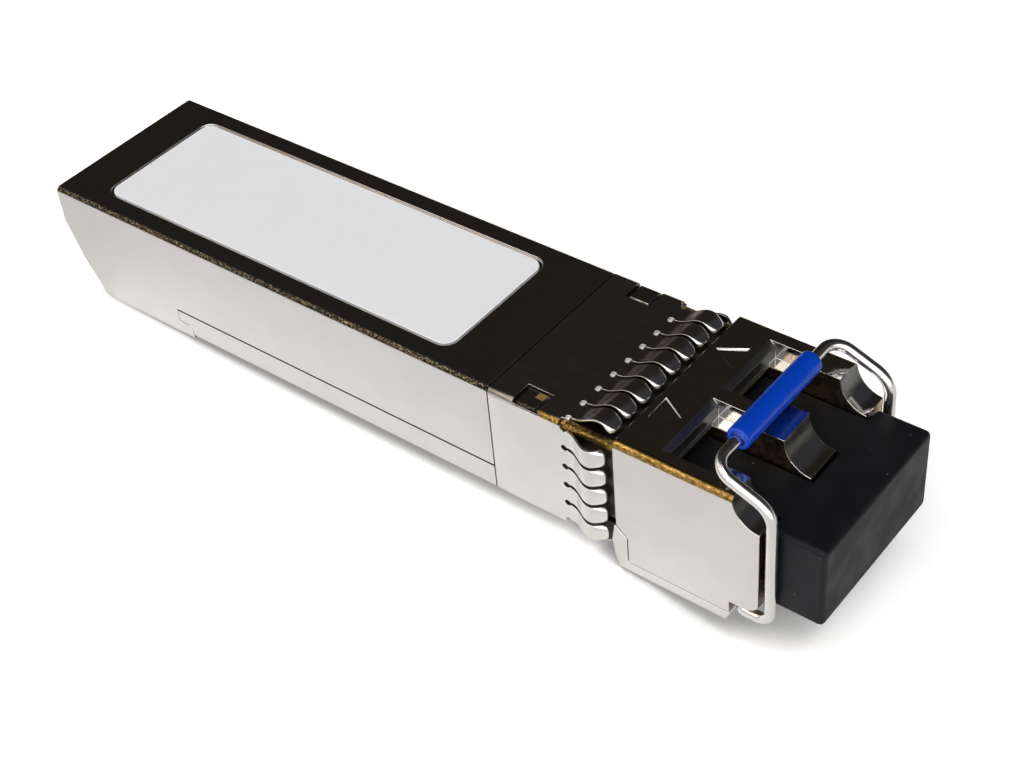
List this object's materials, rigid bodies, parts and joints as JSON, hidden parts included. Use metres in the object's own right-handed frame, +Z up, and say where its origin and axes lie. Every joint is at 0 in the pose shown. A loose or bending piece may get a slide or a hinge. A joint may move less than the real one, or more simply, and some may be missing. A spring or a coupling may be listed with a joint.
{
  "type": "optical transceiver module",
  "caption": "Hot-pluggable optical transceiver with a duplex fibre port nose, spring-fingered collar, wire bail latch, card edge and rubber dust plug.",
  "frame": {"origin": "on the flat underside of the base, on the centre line, 15 mm behind the seam between the rear cover and the collar", "axes": "+Z up through the label, +Y towards the card edge that enters the host, -Y towards the optical ports, X across the width"},
  "size_m": [0.0148, 0.0618, 0.0126],
  "materials": {
    "casting": "bright nickel plating on cast zinc, faint orange peel",
    "collar_sheet": "nickel plated spring steel, slightly satin",
    "steel": "turned",
    "bail_steel": "polished drawn wire",
    "can_metal": "gold flashed",
    "ceramic": "polished zirconia",
    "polyimide": "smooth film",
    "laminate": "solder mask",
    "gold": "hard gold plating",
    "epoxy": "moulded",
    "capacitor_body": "fired",
    "gap_filler": "soft putty",
    "label_paper": "blank satin label",
    "blue_plastic": "smooth moulded sleeve",
    "plug_rubber": "matte, lightly dusty"
  },
  "bodies": {
    "module": {"base_shell": "casting", "rear_cover": "casting", "nose_shell": "casting", "emi_collar": "collar_sheet", "rocker_pin": "steel", "latch_spring": "steel", "base_screw_left": "steel", "base_screw_right": "steel", "barrel_clamp": "collar_sheet", "transmitter_can": "can_metal", "receiver_can": "can_metal", "transmitter_barrel": "steel", "receiver_barrel": "steel", "transmitter_ferrule_sleeve": "ceramic", "receiver_ferrule_sleeve": "ceramic", "transmitter_flex": "polyimide", "receiver_flex": "polyimide", "circuit_board": "laminate", "contacts_top": "gold", "contacts_bottom": "gold", "driver_chip": "epoxy", "controller_chip": "epoxy", "receiver_chip": "epoxy", "crystal": "can_metal", "capacitor_left": "capacitor_body", "capacitor_right": "capacitor_body", "thermal_pad": "gap_filler", "label": "label_paper"},
    "latch": {"latch_rocker": "casting"},
    "bail": {"bail_wire": "bail_steel", "bail_sleeve": "blue_plastic"},
    "plug": {"dust_plug": "plug_rubber"}
  },
  "joints": [
    {"name": "bail_swing", "type": "hinge", "parent": "module", "child": "bail", "pos_m": [0, -0.03278, 0], "axis": [1, 0, 0], "range_deg": [0, 90]},
    {"name": "latch_rock", "type": "hinge", "parent": "module", "child": "latch", "pos_m": [0, -0.0284, -0.00055], "axis": [1, 0, 0], "range_deg": [0, 11.25], "deforming": ["latch_spring"]},
    {"name": "plug_pull", "type": "slide", "parent": "module", "child": "plug", "axis": [0, -1, 0], "range_m": [0, 0.02]}
  ],
  "couplings": [
    {"joint": "latch_rock", "follows": "bail_swing", "ratio": 0.125}
  ]
}
